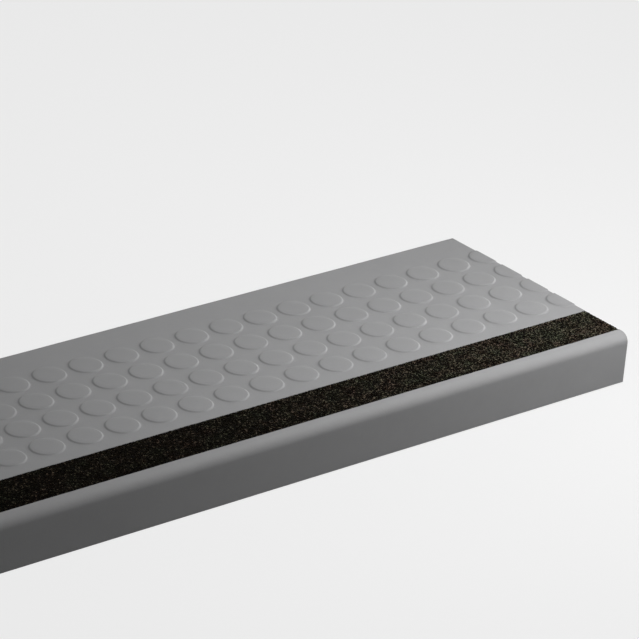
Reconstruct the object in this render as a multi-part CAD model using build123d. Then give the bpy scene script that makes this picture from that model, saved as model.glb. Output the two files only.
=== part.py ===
from build123d import *
import os
from math import atan2, ceil, degrees, floor, radians, tan

# Rubber stair tread with raised round studs, a square nosing and an inlaid grit strip.
# It is drawn as it is laid: X runs along its length, Y from the nosing to the back, and
# Z is measured up from the face between the studs. Both pieces are then leaned back
# together, because a loose tread lies on the lip of its flap and on its back edge.
# All sizes are in millimetres.

# Overall size: three feet long, eleven inches deep, with a nosing of two and an eighth
TREAD_LENGTH = 914.4
TREAD_DEPTH = 279.4
NOSING_HEIGHT = 54.0

# Rubber gauges: the sheet thins towards its back edge and the flap towards its lip
NOSE_GAUGE = 6.35
BACK_GAUGE = 4.76
LIP_GAUGE = 3.2

# Bend of the nosing
FLAP_DRAFT = 2.0
NOSE_RADIUS = 10.0
INNER_RADIUS = 3.6
LIP_RADIUS = 1.2

# Grit strip, two inches wide, laid in a channel that is moulded for it
STRIP_WIDTH = 50.8
STRIP_GAUGE = 1.3
STRIP_STANDS_PROUD = 0.1
STRIP_CLEARANCE = 0.4
CHANNEL_SETBACK = 15.0
CHANNEL_WIDTH = STRIP_WIDTH + 2 * STRIP_CLEARANCE
CHANNEL_DEPTH = STRIP_GAUGE - STRIP_STANDS_PROUD
CHANNEL_MIDDLE = CHANNEL_SETBACK + CHANNEL_WIDTH / 2

# Raised studs: a flat crown inside a sloping edge, on a square grid. The tread is cut from
# longer stock, so the grid is a little off its middle and runs out through both ends.
STUD_RADIUS = 17.7
STUD_EDGE = 3.2
STUD_HEIGHT = 0.9
STUD_ROOT = 0.5
STUD_GAP = 6.16
STUD_PITCH = 2 * STUD_RADIUS + STUD_GAP
STUD_OFFSET = -2.3
FIRST_ROW_FROM_CHANNEL = 32.0
LEAST_BACK_LAND = 30.0
FIRST_ROW = CHANNEL_SETBACK + CHANNEL_WIDTH + FIRST_ROW_FROM_CHANNEL


def flap_face(z):
    """How far back the flap's outer face lies at a height, because of its draft."""
    return -z * tan(radians(FLAP_DRAFT))


def along_the_tread(section):
    """A section in Y and Z, extruded evenly to both ends of the tread."""
    return extrude(section, amount=TREAD_LENGTH / 2, both=True)


def sheet_and_flap():
    """The bent section of the moulding, before its channel and its studs."""
    nose = (0, 0)
    lip_outer = (flap_face(-NOSING_HEIGHT), -NOSING_HEIGHT)
    lip_inner = (lip_outer[0] + LIP_GAUGE, -NOSING_HEIGHT)
    bend = (flap_face(-NOSE_GAUGE) + NOSE_GAUGE, -NOSE_GAUGE)
    under_back = (TREAD_DEPTH, -BACK_GAUGE)
    top_back = (TREAD_DEPTH, 0)
    outline = Polyline(nose, lip_outer, lip_inner, bend, under_back, top_back, close=True)
    section = Plane.YZ * make_face(outline)
    for corner, radius in ((nose, NOSE_RADIUS), (bend, INNER_RADIUS), (lip_outer, LIP_RADIUS)):
        section = fillet(section.vertices().sort_by_distance((0, *corner))[0], radius)
    return along_the_tread(section)


def strip_channel():
    """The shallow channel that is left open at both ends of the tread."""
    return along_the_tread(
        Plane.YZ * Pos(CHANNEL_MIDDLE, 0) * Rectangle(CHANNEL_WIDTH, 2 * CHANNEL_DEPTH)
    )


def stud():
    """One stud at the origin, whose root runs down into the sheet."""
    root = Pos(0, 0, -STUD_ROOT / 2) * Cylinder(STUD_RADIUS, STUD_ROOT)
    flank = Pos(0, 0, STUD_HEIGHT / 2) * Cone(STUD_RADIUS, STUD_RADIUS - STUD_EDGE, STUD_HEIGHT)
    return root + flank


def stud_places():
    """Centres of the studs: whole rows only, and each column that the ends leave a part of."""
    last_row = TREAD_DEPTH - LEAST_BACK_LAND - STUD_RADIUS
    rows = floor((last_row - FIRST_ROW) / STUD_PITCH) + 1
    reach = TREAD_LENGTH / 2 + STUD_RADIUS
    first_column = ceil((-reach - STUD_OFFSET) / STUD_PITCH)
    last_column = floor((reach - STUD_OFFSET) / STUD_PITCH)
    return [
        Pos(STUD_OFFSET + column * STUD_PITCH, FIRST_ROW + row * STUD_PITCH)
        for row in range(rows)
        for column in range(first_column, last_column + 1)
    ]


def rubber_tread():
    """The moulding, with the end studs cut off flush."""
    between_the_ends = Pos(0, TREAD_DEPTH / 2) * Box(
        TREAD_LENGTH, TREAD_DEPTH, 2 * (STUD_HEIGHT + STUD_ROOT)
    )
    studs = [(place * stud()) & between_the_ends for place in stud_places()]
    return sheet_and_flap() - strip_channel() + studs


def grit_strip():
    """The abrasive strip, seated on the floor of its channel."""
    middle_height = STRIP_GAUGE / 2 - CHANNEL_DEPTH
    return along_the_tread(
        Plane.YZ * Pos(CHANNEL_MIDDLE, middle_height) * Rectangle(STRIP_WIDTH, STRIP_GAUGE)
    )


def leaned_on_its_lip(piece):
    """A piece, leaned back until the flap's lip and the back edge are both at Z = 0."""
    lip_y = flap_face(-NOSING_HEIGHT) + LIP_GAUGE
    lean = atan2(NOSING_HEIGHT - BACK_GAUGE, TREAD_DEPTH - lip_y)
    return Rot(X=-degrees(lean)) * Pos(0, -lip_y, NOSING_HEIGHT) * piece


os.makedirs("parts", exist_ok=True)
tread = leaned_on_its_lip(rubber_tread())
strip = leaned_on_its_lip(grit_strip())
centring = Pos(0, -tread.bounding_box().center().Y)
export_step(centring * tread, "parts/rubber_tread.step")
export_step(centring * strip, "parts/grit_strip.step")
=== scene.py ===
import math

import bmesh
import bpy
import numpy as np
from mathutils import Matrix, Vector


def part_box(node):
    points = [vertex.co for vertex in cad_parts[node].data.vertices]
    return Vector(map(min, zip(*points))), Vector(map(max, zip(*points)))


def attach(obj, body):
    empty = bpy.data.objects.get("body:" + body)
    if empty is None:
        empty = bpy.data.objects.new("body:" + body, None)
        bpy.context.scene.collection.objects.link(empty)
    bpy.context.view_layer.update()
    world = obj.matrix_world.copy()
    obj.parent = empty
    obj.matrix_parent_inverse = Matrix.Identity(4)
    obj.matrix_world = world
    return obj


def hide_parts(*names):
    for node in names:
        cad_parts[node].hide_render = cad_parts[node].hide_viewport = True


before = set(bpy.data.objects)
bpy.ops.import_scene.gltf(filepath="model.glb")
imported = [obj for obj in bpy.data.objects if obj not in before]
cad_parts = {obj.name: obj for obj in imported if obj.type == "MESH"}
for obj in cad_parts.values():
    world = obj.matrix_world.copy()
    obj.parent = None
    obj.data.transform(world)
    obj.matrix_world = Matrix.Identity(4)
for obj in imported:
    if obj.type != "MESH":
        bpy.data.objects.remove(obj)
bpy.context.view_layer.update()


# The rubber tread
# One moulding of grey rubber: a sheet with raised round studs, which turns down in a square
# nosing and thins to a lip. It is pressed in a matt mould, buffed underneath for the glue,
# and sawn to length, so that the end studs are cut in two. It lies on its lip and back edge.

tread_low, tread_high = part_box("rubber_tread")
tread_length = tread_high.x - tread_low.x

# Its section, as it is laid flat: Y from the nosing to the back, Z up from the land
tread_depth = 0.2794
nosing_height = 0.054
nose_gauge = 0.00635
back_gauge = 0.00476
lip_gauge = 0.0032
flap_draft = math.radians(2.0)

nose_radius = 0.010
bend_radius = 0.0036
lip_radius = 0.0012
back_edge_radius = 0.0007
cut_edge_radius = 0.0003

channel_setback = 0.0150
channel_width = 0.0516
channel_depth = 0.0012
channel_edge_radius = 0.00035
channel_back = channel_setback + channel_width

# The studs: a flat crown inside a rolled flank, in rows on a square grid
stud_pitch = 0.04156
stud_rows = 4
stud_offset = -0.0023
stud_crown_radius = 0.0153
stud_foot_radius = 0.0176
stud_height = 0.00100
stud_core_radius = 0.0100
row_setback = 0.0320
first_row = channel_back + row_setback

# How finely the mesh is divided
cell_steps = 12
flank_steps = 8
apron_steps = 2
run_step = 0.0058
arc_step = math.radians(9.0)
shortest_chord = 0.00015
weld_gap = 1e-6
sharp_angle = math.radians(38.0)

# Slow ripples of the sheet: radians a metre along and across it, start, and share
wave_height = 0.00022
ripples = (
    (21.0, 6.0, 0.4, 1.0),
    (47.0, -31.0, 2.1, 0.7),
    (83.0, 57.0, 4.4, 0.5),
    (149.0, -97.0, 1.2, 0.3),
)
wave_start = 0.002
flap_ripple_squeeze = 3

# Which of the three finishes a face has, by the way it faces and where it is
moulded, sawn, buffed = range(3)
end_facing = 0.9
glued_facing = 0.5
glued_reach = 2 * nose_gauge


def flap_face(z):
    """How far back the flap's outer face lies at a height."""
    return -z * math.tan(flap_draft)


def leaned_place():
    """Carries the tread from the way it is laid to the way it lies loose."""
    lip_y = flap_face(-nosing_height) + lip_gauge
    lean = math.atan2(nosing_height - back_gauge, tread_depth - lip_y)
    lifted = Matrix.Translation((0, -lip_y, nosing_height))
    leaned = Matrix.Rotation(-lean, 4, "X") @ lifted
    back = leaned @ Vector((0, tread_depth, 0))
    return Matrix.Translation((0, tread_high.y - back.y, 0)) @ leaned


def rounded_section(corners, ends):
    """Points along a section: its corners are rounded and its straight runs are divided."""
    outline = [Vector(ends[0])]
    runs = [Vector(ends[0])] + [Vector(corner[:2]) for corner in corners] + [Vector(ends[1])]
    for before, at, after, (_, _, radius) in zip(runs, runs[1:], runs[2:], corners):
        inward, outward = (before - at).normalized(), (after - at).normalized()
        half = inward.angle(outward) / 2
        centre = at + (inward + outward).normalized() * radius / math.sin(half)
        first = at + inward * radius / math.tan(half) - centre
        turn = first.angle_signed(at + outward * radius / math.tan(half) - centre)
        steps = max(2, round(abs(turn) * min(1 / arc_step, radius / shortest_chord)))
        for step in range(steps + 1):
            outline.append(centre + Matrix.Rotation(-turn * step / steps, 2) @ first)
    outline.append(Vector(ends[1]))
    points = [outline[0]]
    for start, stop in zip(outline, outline[1:]):
        steps = max(1, math.ceil((stop - start).length / run_step))
        points += [start.lerp(stop, step / steps) for step in range(1, steps + 1)]
    return np.array(points)


def stud_columns():
    """The columns of studs that the ends leave a part of."""
    reach = tread_length / 2 + stud_foot_radius
    first = math.ceil((-reach - stud_offset) / stud_pitch)
    last = math.floor((reach - stud_offset) / stud_pitch)
    return range(first, last + 1)


def length_stations():
    """Where the mesh is divided along the tread: evenly in each stud's cell, past both ends."""
    columns = stud_columns()
    steps = np.arange(len(columns) * cell_steps + 1) / cell_steps
    return stud_offset + (columns[0] - 0.5 + steps) * stud_pitch


def square_rim():
    """Unit points round the rim of a stud's square cell, from the middle of its right side."""
    side = np.linspace(-1, 1, cell_steps + 1)
    corners = [np.stack([np.ones_like(side), side], 1)[:-1]]
    for _ in range(3):
        last = corners[-1]
        corners.append(np.stack([-last[:, 1], last[:, 0]], 1))
    rim = np.roll(np.concatenate(corners), -cell_steps // 2, axis=0)
    return np.concatenate([rim, rim[:1]])


def round_rim():
    """Unit points round a circle, each facing a point of the square rim."""
    turn = np.linspace(0, 2 * math.pi, 4 * cell_steps + 1)
    return np.stack([np.cos(turn), np.sin(turn)], 1)


def stud_core():
    """The middle of a stud's crown, as a square grid that is bent into a disc."""
    side = np.linspace(-1, 1, cell_steps + 1)
    u, v = np.meshgrid(side, side, indexing="ij")
    reach = np.maximum(np.abs(u), np.abs(v))
    turn = np.where(
        np.abs(u) >= np.abs(v),
        np.pi / 4 * v / np.where(u == 0, 1, u) + np.where(u < 0, np.pi, 0),
        np.pi / 2 - np.pi / 4 * u / np.where(v == 0, 1, v) + np.where(v < 0, np.pi, 0),
    )
    disc = np.stack([reach * np.cos(turn), reach * np.sin(turn)], -1) * stud_core_radius
    return np.concatenate([disc, np.full(u.shape + (1,), stud_height)], -1)


def stud_skirt():
    """The rest of a stud's cell: crown edge, rolled flank, and the land out to the cell's rim."""
    circle, square = round_rim(), square_rim() * stud_pitch / 2
    rings = [(circle * stud_core_radius, stud_height)]
    for step in range(flank_steps + 1):
        down = step / flank_steps
        radius = stud_crown_radius + (stud_foot_radius - stud_crown_radius) * down
        rings.append((circle * radius, stud_height * (1 - down * down * (3 - 2 * down))))
    foot = circle * stud_foot_radius
    for step in range(1, apron_steps + 1):
        rings.append((foot + (square - foot) * step / apron_steps, 0.0))
    return np.stack([np.concatenate([p, np.full((len(p), 1), z)], 1) for p, z in rings])


class Moulding:
    """Grids of points that are gathered into one welded mesh, which is sawn to length."""

    def __init__(self):
        self.points = []
        self.faces = []
        self.count = 0

    def add(self, grid):
        """Adds a grid of points as a sheet of four-sided faces."""
        rows, columns = grid.shape[:2]
        index = self.count + np.arange(rows * columns).reshape(rows, columns)
        around = [index[:-1, :-1], index[1:, :-1], index[1:, 1:], index[:-1, 1:]]
        self.faces.append(np.stack(around, -1).reshape(-1, 4))
        self.points.append(grid.reshape(-1, 3))
        self.count += rows * columns

    def mesh(self, name, shape, finish=None):
        """The welded mesh with its ends closed flat: finish gives each face its material's
        index, and shape then gives each point its place."""
        points = np.concatenate(self.points)
        data = bpy.data.meshes.new(name)
        data.from_pydata(points.tolist(), [], np.concatenate(self.faces).tolist())
        solid = bmesh.new()
        solid.from_mesh(data)
        bmesh.ops.remove_doubles(solid, verts=solid.verts, dist=weld_gap)
        for side in (-1, 1):
            bmesh.ops.bisect_plane(
                solid,
                geom=solid.verts[:] + solid.edges[:] + solid.faces[:],
                dist=weld_gap,
                plane_co=(side * tread_length / 2, 0, 0),
                plane_no=(side, 0, 0),
                clear_outer=True,
            )
        open_edges = [edge for edge in solid.edges if edge.is_boundary]
        ends = bmesh.ops.holes_fill(solid, edges=open_edges, sides=0)["faces"]
        bmesh.ops.recalc_face_normals(solid, faces=solid.faces)
        if finish:
            for face in solid.faces:
                face.material_index = finish(face)
        for vertex in solid.verts:
            vertex.co = shape(vertex.co)
        bmesh.ops.triangulate(solid, faces=ends, ngon_method="BEAUTY")
        solid.to_mesh(data)
        solid.free()
        return data


def finish_of(face):
    """Sawn at the ends, buffed under the sheet and behind the flap, and moulded elsewhere."""
    if abs(face.normal.x) > end_facing:
        return sawn
    middle = face.calc_center_median()
    under = face.normal.z < -glued_facing and middle.z > -glued_reach
    behind = face.normal.y > glued_facing and middle.y < glued_reach and middle.z < -nose_gauge
    return buffed if under or behind else moulded


def waves(x, y):
    """The slow, slight unevenness of the soft sheet, from 0 to 1."""
    swell = 0.0
    highest = 0.0
    for along, across, start, share in ripples:
        swell += share * math.sin(along * x + across * y + start)
        highest += share
    return 0.5 + 0.5 * swell / highest


def tread_mesh():
    """The whole moulding: a field of stud cells, and one section that is run along it."""
    stations = length_stations()
    moulding = Moulding()
    field_front = first_row - stud_pitch / 2
    field_back = first_row + (stud_rows - 0.5) * stud_pitch
    core, skirt = stud_core(), stud_skirt()
    for row in range(stud_rows):
        for column in stud_columns():
            place = np.array([stud_offset + column * stud_pitch, first_row + row * stud_pitch, 0])
            moulding.add(core + place)
            moulding.add(skirt + place)
    bend = (flap_face(-nose_gauge) + nose_gauge, -nose_gauge)
    lip_y = flap_face(-nosing_height)
    section = rounded_section(
        [
            (tread_depth, 0, back_edge_radius),
            (tread_depth, -back_gauge, cut_edge_radius),
            (*bend, bend_radius),
            (lip_y + lip_gauge, -nosing_height, cut_edge_radius),
            (lip_y, -nosing_height, lip_radius),
            (0, 0, nose_radius),
            (channel_setback, 0, channel_edge_radius),
            (channel_setback, -channel_depth, cut_edge_radius),
            (channel_back, -channel_depth, cut_edge_radius),
            (channel_back, 0, channel_edge_radius),
        ],
        [(field_back, 0), (field_front, 0)],
    )
    run = np.empty((len(section), len(stations), 3))
    run[..., 0] = stations[None]
    run[..., 1:] = section[:, None]
    moulding.add(run)
    to_place = leaned_place()

    def settled(point):
        """A point of the tread after its slight unevenness, as the tread lies."""
        x, y, z = point
        x = min(max(x, -tread_length / 2), tread_length / 2)
        if z > -channel_depth / 2:
            ease = min(1.0, max(0.0, (y - wave_start) / nose_radius))
            z -= wave_height * waves(x, y) * ease
        elif y < nose_gauge / 2:
            ease = min(1.0, -z / nose_radius)
            y += wave_height * waves(x, flap_ripple_squeeze * z) * ease
        return to_place @ Vector((x, y, z))

    return moulding.mesh("rubber_tread_moulding", settled, finish_of)


class Wire:
    """A socket in a finish's nodes. Arithmetic on it adds Math nodes."""

    def __init__(self, tree, socket=None):
        self.tree, self.socket = tree, socket

    def node(self, kind, settings=None, values=None, out=0):
        """Adds a node: its settings come first, then the values or links of its sockets."""
        made = self.tree.nodes.new(kind)
        for name, setting in (settings or {}).items():
            if name == "stops":
                ramp = made.color_ramp.elements
                while len(ramp) < len(setting):
                    ramp.new(1.0)
                for element, (place, colour) in zip(ramp, setting):
                    element.position, element.color = place, (*colour, 1.0)
            else:
                setattr(made, name, setting)
        for name, value in (values or {}).items():
            socket = made.inputs[name]
            if isinstance(value, Wire):
                self.tree.links.new(value.socket, socket)
            else:
                socket.default_value = value
        return Wire(self.tree, made.outputs[out] if made.outputs else None)

    def math(self, operation, first, second):
        """A Math node on two wires or numbers."""
        return self.node("ShaderNodeMath", {"operation": operation}, {0: first, 1: second})

    def __add__(self, other):
        return self.math("ADD", self, other)

    def __sub__(self, other):
        return self.math("SUBTRACT", self, other)

    def __mul__(self, other):
        return self.math("MULTIPLY", self, other)

    def __rsub__(self, other):
        return self.math("SUBTRACT", other, self)

    __radd__ = __add__
    __rmul__ = __mul__

    def at_least(self, least):
        """The wire's own value, or the least where that is more."""
        return self.math("MAXIMUM", self, least)

    def noise(self, place, scale, detail=3.0, roughness=0.5):
        """Noise about nought, roughly from -0.5 to 0.5."""
        sockets = {"Vector": place, "Scale": scale, "Detail": detail, "Roughness": roughness}
        return self.node("ShaderNodeTexNoise", {}, sockets) - 0.5

    def mixed(self, share, first, second, blend="MIX"):
        """One colour blended into another by a share. The colours are a Mix node's sockets 6
        and 7, and its colour comes out of the third."""
        settings = {"data_type": "RGBA", "blend_type": blend}
        return self.node("ShaderNodeMix", settings, {"Factor": share, 6: first, 7: second}, 2)

    def bumped(self, height, distance, under=None):
        """A normal roughened by a height, over another where one is given."""
        sockets = {"Height": height, "Distance": distance}
        if under is not None:
            sockets["Normal"] = under
        return self.node("ShaderNodeBump", {}, sockets)


def finish_nodes(name):
    """An empty finish, and its start for adding nodes."""
    material = bpy.data.materials.new(name)
    material.use_nodes = True
    material.node_tree.nodes.clear()
    return material, Wire(material.node_tree)


def principled(start, sockets):
    """Ends a finish with its surface shader."""
    shader = start.node("ShaderNodeBsdfPrincipled", {}, sockets)
    start.node("ShaderNodeOutputMaterial", {}, {"Surface": shader})


rubber_pale = (0.322, 0.322, 0.325, 1.0)
rubber_dark = (0.268, 0.268, 0.271, 1.0)
rubber_gloss = 0.28
rubber_roughness = 0.62
cloud_scale = 22.0
mottle_scale = 95.0
mottle_share = 0.6
speck_scale = 700.0
speck_depth = 0.00008
grain_scale = 1900.0
grain_depth = 0.00005


def moulded_rubber():
    """The matt skin that the mould leaves: a fine even grain and a faint cloudiness."""
    material, start = finish_nodes("moulded_rubber")
    place = start.node("ShaderNodeTexCoord", out="Object")
    mottle = start.noise(place, mottle_scale, detail=2.0)
    cloud = start.noise(place, cloud_scale) + mottle_share * mottle
    grain = start.noise(place, grain_scale, detail=2.0, roughness=0.6)
    speck = start.noise(place, speck_scale, detail=1.0)
    colour = start.mixed(0.5 + 0.55 * cloud + 0.5 * grain, rubber_dark, rubber_pale)
    pebble = start.bumped(grain, grain_depth)
    principled(start, {
        "Base Color": colour,
        "Roughness": rubber_roughness + 0.16 * speck + 0.12 * cloud,
        "Specular IOR Level": rubber_gloss,
        "Normal": start.bumped(speck, speck_depth, pebble),
    })
    return material


sawn_pale = (0.270, 0.270, 0.272, 1.0)
sawn_dark = (0.205, 0.205, 0.207, 1.0)
sawn_gloss = 0.2
sawn_roughness = 0.80
blade_scale = 2600.0
blade_stretch = (1.0, 1.0, 0.06)
crumb_scale = 1500.0
saw_depth = 0.00010


def sawn_rubber():
    """A cut end: dull, with the fine upright lines of the blade."""
    material, start = finish_nodes("sawn_rubber")
    place = start.node("ShaderNodeTexCoord", out="Object")
    drawn_out = start.node("ShaderNodeMapping", {}, {"Vector": place, "Scale": blade_stretch})
    lines = start.noise(drawn_out, blade_scale, roughness=0.6)
    crumb = start.noise(place, crumb_scale, detail=2.0)
    colour = start.mixed(0.5 + 0.9 * lines + 0.5 * crumb, sawn_dark, sawn_pale)
    principled(start, {
        "Base Color": colour,
        "Roughness": sawn_roughness + 0.2 * crumb,
        "Specular IOR Level": sawn_gloss,
        "Normal": start.bumped(lines + 0.5 * crumb, saw_depth),
    })
    return material


buffed_pale = (0.250, 0.250, 0.250, 1.0)
buffed_dark = (0.150, 0.150, 0.151, 1.0)
buffed_gloss = 0.15
buffed_roughness = 0.86
scratch_scale = 1500.0
scratch_stretch = (0.03, 1.0, 1.0)
scratch_depth = 0.00012
pass_scale = 160.0
dust_scale = 30.0


def buffed_rubber():
    """The back, which is buffed along its length so that glue holds: scratched and dusty."""
    material, start = finish_nodes("buffed_rubber")
    place = start.node("ShaderNodeTexCoord", out="Object")
    drawn_out = start.node("ShaderNodeMapping", {}, {"Vector": place, "Scale": scratch_stretch})
    scratches = start.noise(drawn_out, scratch_scale, detail=4.0, roughness=0.65)
    passes = start.noise(drawn_out, pass_scale, detail=2.0)
    dust = start.noise(place, dust_scale, detail=4.0, roughness=0.6)
    worn = 0.5 + 0.8 * scratches + 0.5 * passes + 0.4 * dust
    principled(start, {
        "Base Color": start.mixed(worn, buffed_dark, buffed_pale),
        "Roughness": buffed_roughness + 0.2 * scratches,
        "Specular IOR Level": buffed_gloss,
        "Normal": start.bumped(scratches + 0.4 * passes, scratch_depth),
    })
    return material


tread = bpy.data.objects.new("tread_moulding", tread_mesh())
bpy.context.scene.collection.objects.link(tread)
for finish in (moulded_rubber(), sawn_rubber(), buffed_rubber()):
    tread.data.materials.append(finish)
tread.data.shade_smooth()
tread.data.set_sharp_from_angle(angle=sharp_angle)
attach(tread, "root")
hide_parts("rubber_tread")


# The grit strip
# A two-inch strip of black mineral grit, bonded to a thin backing and stuck down in the
# channel behind the nosing. Its grains stand at every angle, its long edges are ragged
# where the grit was slit, and a few grains are paler than the rest; the palest are partly
# pale grit and partly painted glints.

strip_width = 0.0508
strip_proud = 0.0001
grain_step = 0.00078
grain_height = 0.00070
grain_jitter = 0.35
tall_grain_rarity = 1.3
ragged_edge = 0.00030
strip_seed = 7


def strip_mesh():
    """The strip, with every grain a point of its own height."""
    grains = np.random.default_rng(strip_seed)
    columns = round(tread_length / grain_step) + 1
    rows = round(strip_width / grain_step) + 1
    middle = channel_setback + channel_width / 2
    u, v = np.meshgrid(np.linspace(-0.5, 0.5, columns), np.linspace(-0.5, 0.5, rows))
    x = u * tread_length
    y = middle + v * strip_width
    inner = np.zeros(u.shape)
    inner[1:-1, 1:-1] = 1
    x = x + inner * grains.uniform(-grain_jitter, grain_jitter, u.shape) * grain_step
    y = y + inner * grains.uniform(-grain_jitter, grain_jitter, u.shape) * grain_step
    for edge, side in ((0, -1), (-1, 1)):
        y[edge] += side * grains.uniform(-1.0, 1.0, columns) * ragged_edge
    lumps = grains.uniform(0.0, 1.0, u.shape) ** tall_grain_rarity
    z = strip_proud - grain_height * (1 - lumps)
    bottom = np.full((1, columns), -channel_depth)
    x = np.concatenate([x[:1], x, x[-1:], x[:1]])
    y = np.concatenate([y[:1], y, y[-1:], y[:1]])
    z = np.concatenate([bottom, z, bottom, bottom])
    moulding = Moulding()
    moulding.add(np.stack([x, y, z], -1))
    to_place = leaned_place()
    return moulding.mesh("grit_strip_grains", lambda point: to_place @ point)


# The grains' colours from the commonest to the rarest, and how they drift. The palest stop is
# partly pale grains and partly painted glints.
grit_shades_and_glints = [
    (0.00, (0.0004, 0.0003, 0.0001)),
    (0.50, (0.0010, 0.0007, 0.0003)),
    (0.74, (0.0040, 0.0033, 0.0017)),
    (0.90, (0.0175, 0.0166, 0.0125)),
    (1.00, (0.1250, 0.1230, 0.1080)),
]
olive_tint = (0.92, 1.00, 0.76, 1.0)
brown_tint = (1.28, 0.93, 0.80, 1.0)
grit_cells = 1000.0
grit_gloss = 0.005
grit_roughness = 0.28
# Painted light: the grains are made paler towards the right end, where the lamps light the strip
# and make it glint.
painted_light_at_right = 0.28
painted_light_from = -0.10
cluster_scale = 300.0
cluster_share = 0.45
patch_scale = 55.0
patch_contrast = 3.0
facet_scale = 1500.0
facet_depth = 0.0006


def mineral_grit():
    """Black abrasive in a dark binder, with scattered olive, brown and pale grains; the palest
    are partly painted glints, and painted light makes the grains paler towards the lit right end."""
    material, start = finish_nodes("mineral_grit")
    place = start.node("ShaderNodeTexCoord", out="Object")
    cells = {"Vector": place, "Scale": grit_cells}
    grain = start.node("ShaderNodeTexVoronoi", {}, cells, "Color")
    chance = start.node("ShaderNodeSeparateColor", {}, {"Color": grain}, "Red")
    gloss = start.node("ShaderNodeSeparateColor", {}, {"Color": grain}, "Green")
    cluster = start.noise(place, cluster_scale, detail=2.0, roughness=0.6)
    along = start.node("ShaderNodeSeparateXYZ", {}, {"Vector": place}, "X")
    # Each grain's own chance and cluster, plus painted light that makes the grains paler towards
    # the lit right end.
    pale = chance + cluster_share * cluster + painted_light_at_right * along.at_least(painted_light_from)
    # The ramp's palest stop is partly pale grit and partly painted glints.
    shade = start.node("ShaderNodeValToRGB", {"stops": grit_shades_and_glints}, {"Fac": pale})
    patch = start.noise(place, patch_scale, detail=2.0, roughness=0.6)
    tint = start.mixed(0.5 + patch_contrast * patch, olive_tint, brown_tint)
    facet = start.noise(place, facet_scale, detail=2.0, roughness=0.7)
    principled(start, {
        "Base Color": start.mixed(1.0, shade, tint, "MULTIPLY"),
        "Roughness": grit_roughness + 0.30 * gloss,
        "Specular IOR Level": grit_gloss,
        "Normal": start.bumped(facet, facet_depth),
    })
    return material


strip = bpy.data.objects.new("grit_strip_grains", strip_mesh())
bpy.context.scene.collection.objects.link(strip)
strip.data.materials.append(mineral_grit())
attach(strip, "root")
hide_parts("grit_strip")


# The floor, the lamps and the camera
# A plain pale floor that runs out of sight, under a faint even sky. Four soft lamps are close
# over and before the tread's right half, one is high above it, and a narrow one is far beyond
# each end. A long lens looks down on the nosing from the left.

floor_reach = 40.0
floor_pale = 0.862
floor_glow = 1.02
floor_bounce = 0.20
floor_lit_share = 0.12
sky_level = 0.20

camera_turn = math.radians(41.998)
camera_dip = math.radians(32.686)
camera_roll = math.radians(-10.530)
camera_lens = 188.39
camera_sensor = 36.0
camera_eye = Vector((-1.66558, -2.03369, 1.82179))

# Each lamp's place and power. They face one point, and are equally wide as seen from it.
lamp_target = Vector((0.20, 0.0, 0.04))
lamp_spread = 0.30
soft_lamps = {
    "key": (0.40, -0.15, 0.75, 2.98),
    "near_low": (0.55, -0.30, 0.35, 0.63),
    "right_low": (0.95, -0.30, 0.35, 1.24),
    "right": (1.30, -0.40, 0.45, 1.60),
    "above": (0.24, 0.0, 2.04, 3.17),
    "far_left": (-2.62, 0.0, 1.05, 0.33),
    "far_right": (2.99, 1.02, 0.46, 2.85),
}
narrow_lamps = ("far_left", "far_right")
narrow_beam = math.radians(60.0)


def seen(start):
    """One for rays from the eye, off a gloss or through a clear part, and nought for the rest."""
    rays = start.node("ShaderNodeLightPath", out="Is Camera Ray")
    for kind in ("Is Glossy Ray", "Is Transmission Ray"):
        rays = rays + start.node("ShaderNodeLightPath", out=kind)
    return rays


def pale_floor():
    """A floor that is seen pale, keeps the shadow, and throws little light back up."""
    material, start = finish_nodes("pale_floor")
    pale = (floor_pale, floor_pale, floor_pale, 1.0)
    lit = start.node("ShaderNodeBsdfDiffuse", {}, {"Color": pale})
    glow = start.node("ShaderNodeEmission", {}, {"Color": pale, "Strength": floor_glow})
    shown = start.node("ShaderNodeMixShader", {}, {0: floor_lit_share, 1: glow, 2: lit})
    dull = (floor_bounce, floor_bounce, floor_bounce, 1.0)
    bounce = start.node("ShaderNodeBsdfDiffuse", {}, {"Color": dull})
    both = start.node("ShaderNodeMixShader", {}, {0: seen(start), 1: bounce, 2: shown})
    start.node("ShaderNodeOutputMaterial", {}, {"Surface": both})
    return material


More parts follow.
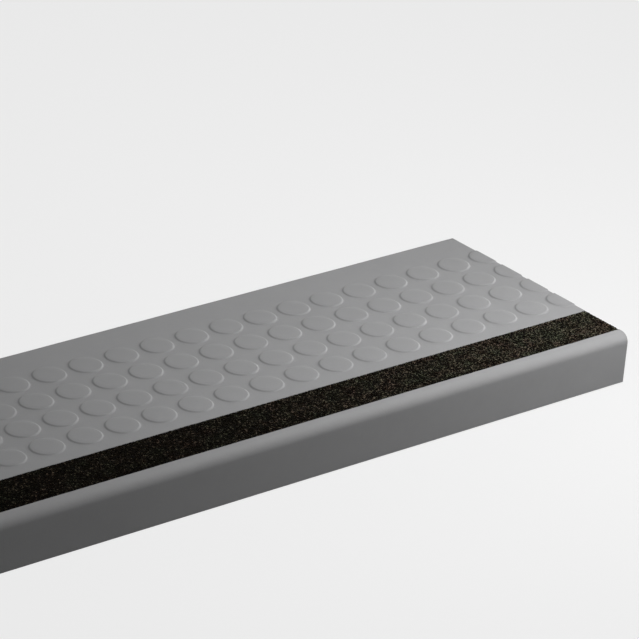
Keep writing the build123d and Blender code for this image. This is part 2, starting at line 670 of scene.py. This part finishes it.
floor_data = bpy.data.meshes.new("floor")
floor_signs = ((-1, -1), (1, -1), (1, 1), (-1, 1))
floor_corners = [(x * floor_reach, y * floor_reach, 0) for x, y in floor_signs]
floor_data.from_pydata(floor_corners, [], [(0, 1, 2, 3)])
floor = bpy.data.objects.new("floor", floor_data)
bpy.context.scene.collection.objects.link(floor)
floor.data.materials.append(pale_floor())

world = bpy.data.worlds.new("studio")
world.use_nodes = True
world.node_tree.nodes.clear()
sky = Wire(world.node_tree)
sky_light = sky.node("ShaderNodeBackground", {}, {"Strength": sky_level})
sky_shown = sky.node("ShaderNodeBackground", {}, {"Strength": floor_pale})
sky_both = sky.node("ShaderNodeMixShader", {}, {0: seen(sky), 1: sky_light, 2: sky_shown})
sky.node("ShaderNodeOutputWorld", {}, {"Surface": sky_both})
bpy.context.scene.world = world

for name, (*place, power) in soft_lamps.items():
    inward = lamp_target - Vector(place)
    light = bpy.data.lights.new(name, "AREA")
    light.shape = "SQUARE"
    light.size = lamp_spread * inward.length
    light.energy = power
    if name in narrow_lamps:
        light.spread = narrow_beam
    lamp = bpy.data.objects.new(name, light)
    lamp.location = place
    lamp.rotation_euler = inward.to_track_quat("-Z", "Y").to_euler()
    lamp.visible_camera = False
    bpy.context.scene.collection.objects.link(lamp)

ahead = Vector((
    math.sin(camera_turn) * math.cos(camera_dip),
    math.cos(camera_turn) * math.cos(camera_dip),
    -math.sin(camera_dip),
))
level = Vector((math.cos(camera_turn), -math.sin(camera_turn), 0))
upright = level.cross(ahead)
up_the_frame = upright * math.cos(camera_roll) + level * math.sin(camera_roll)
facing = Matrix((ahead.cross(up_the_frame), up_the_frame, -ahead)).transposed()
lens = bpy.data.cameras.new("camera")
lens.lens = camera_lens
lens.sensor_width = camera_sensor
camera = bpy.data.objects.new("camera", lens)
camera.matrix_world = Matrix.Translation(camera_eye) @ facing.to_4x4()
bpy.context.scene.collection.objects.link(camera)
bpy.context.scene.camera = camera
bpy.context.scene.view_settings.view_transform = "Standard"
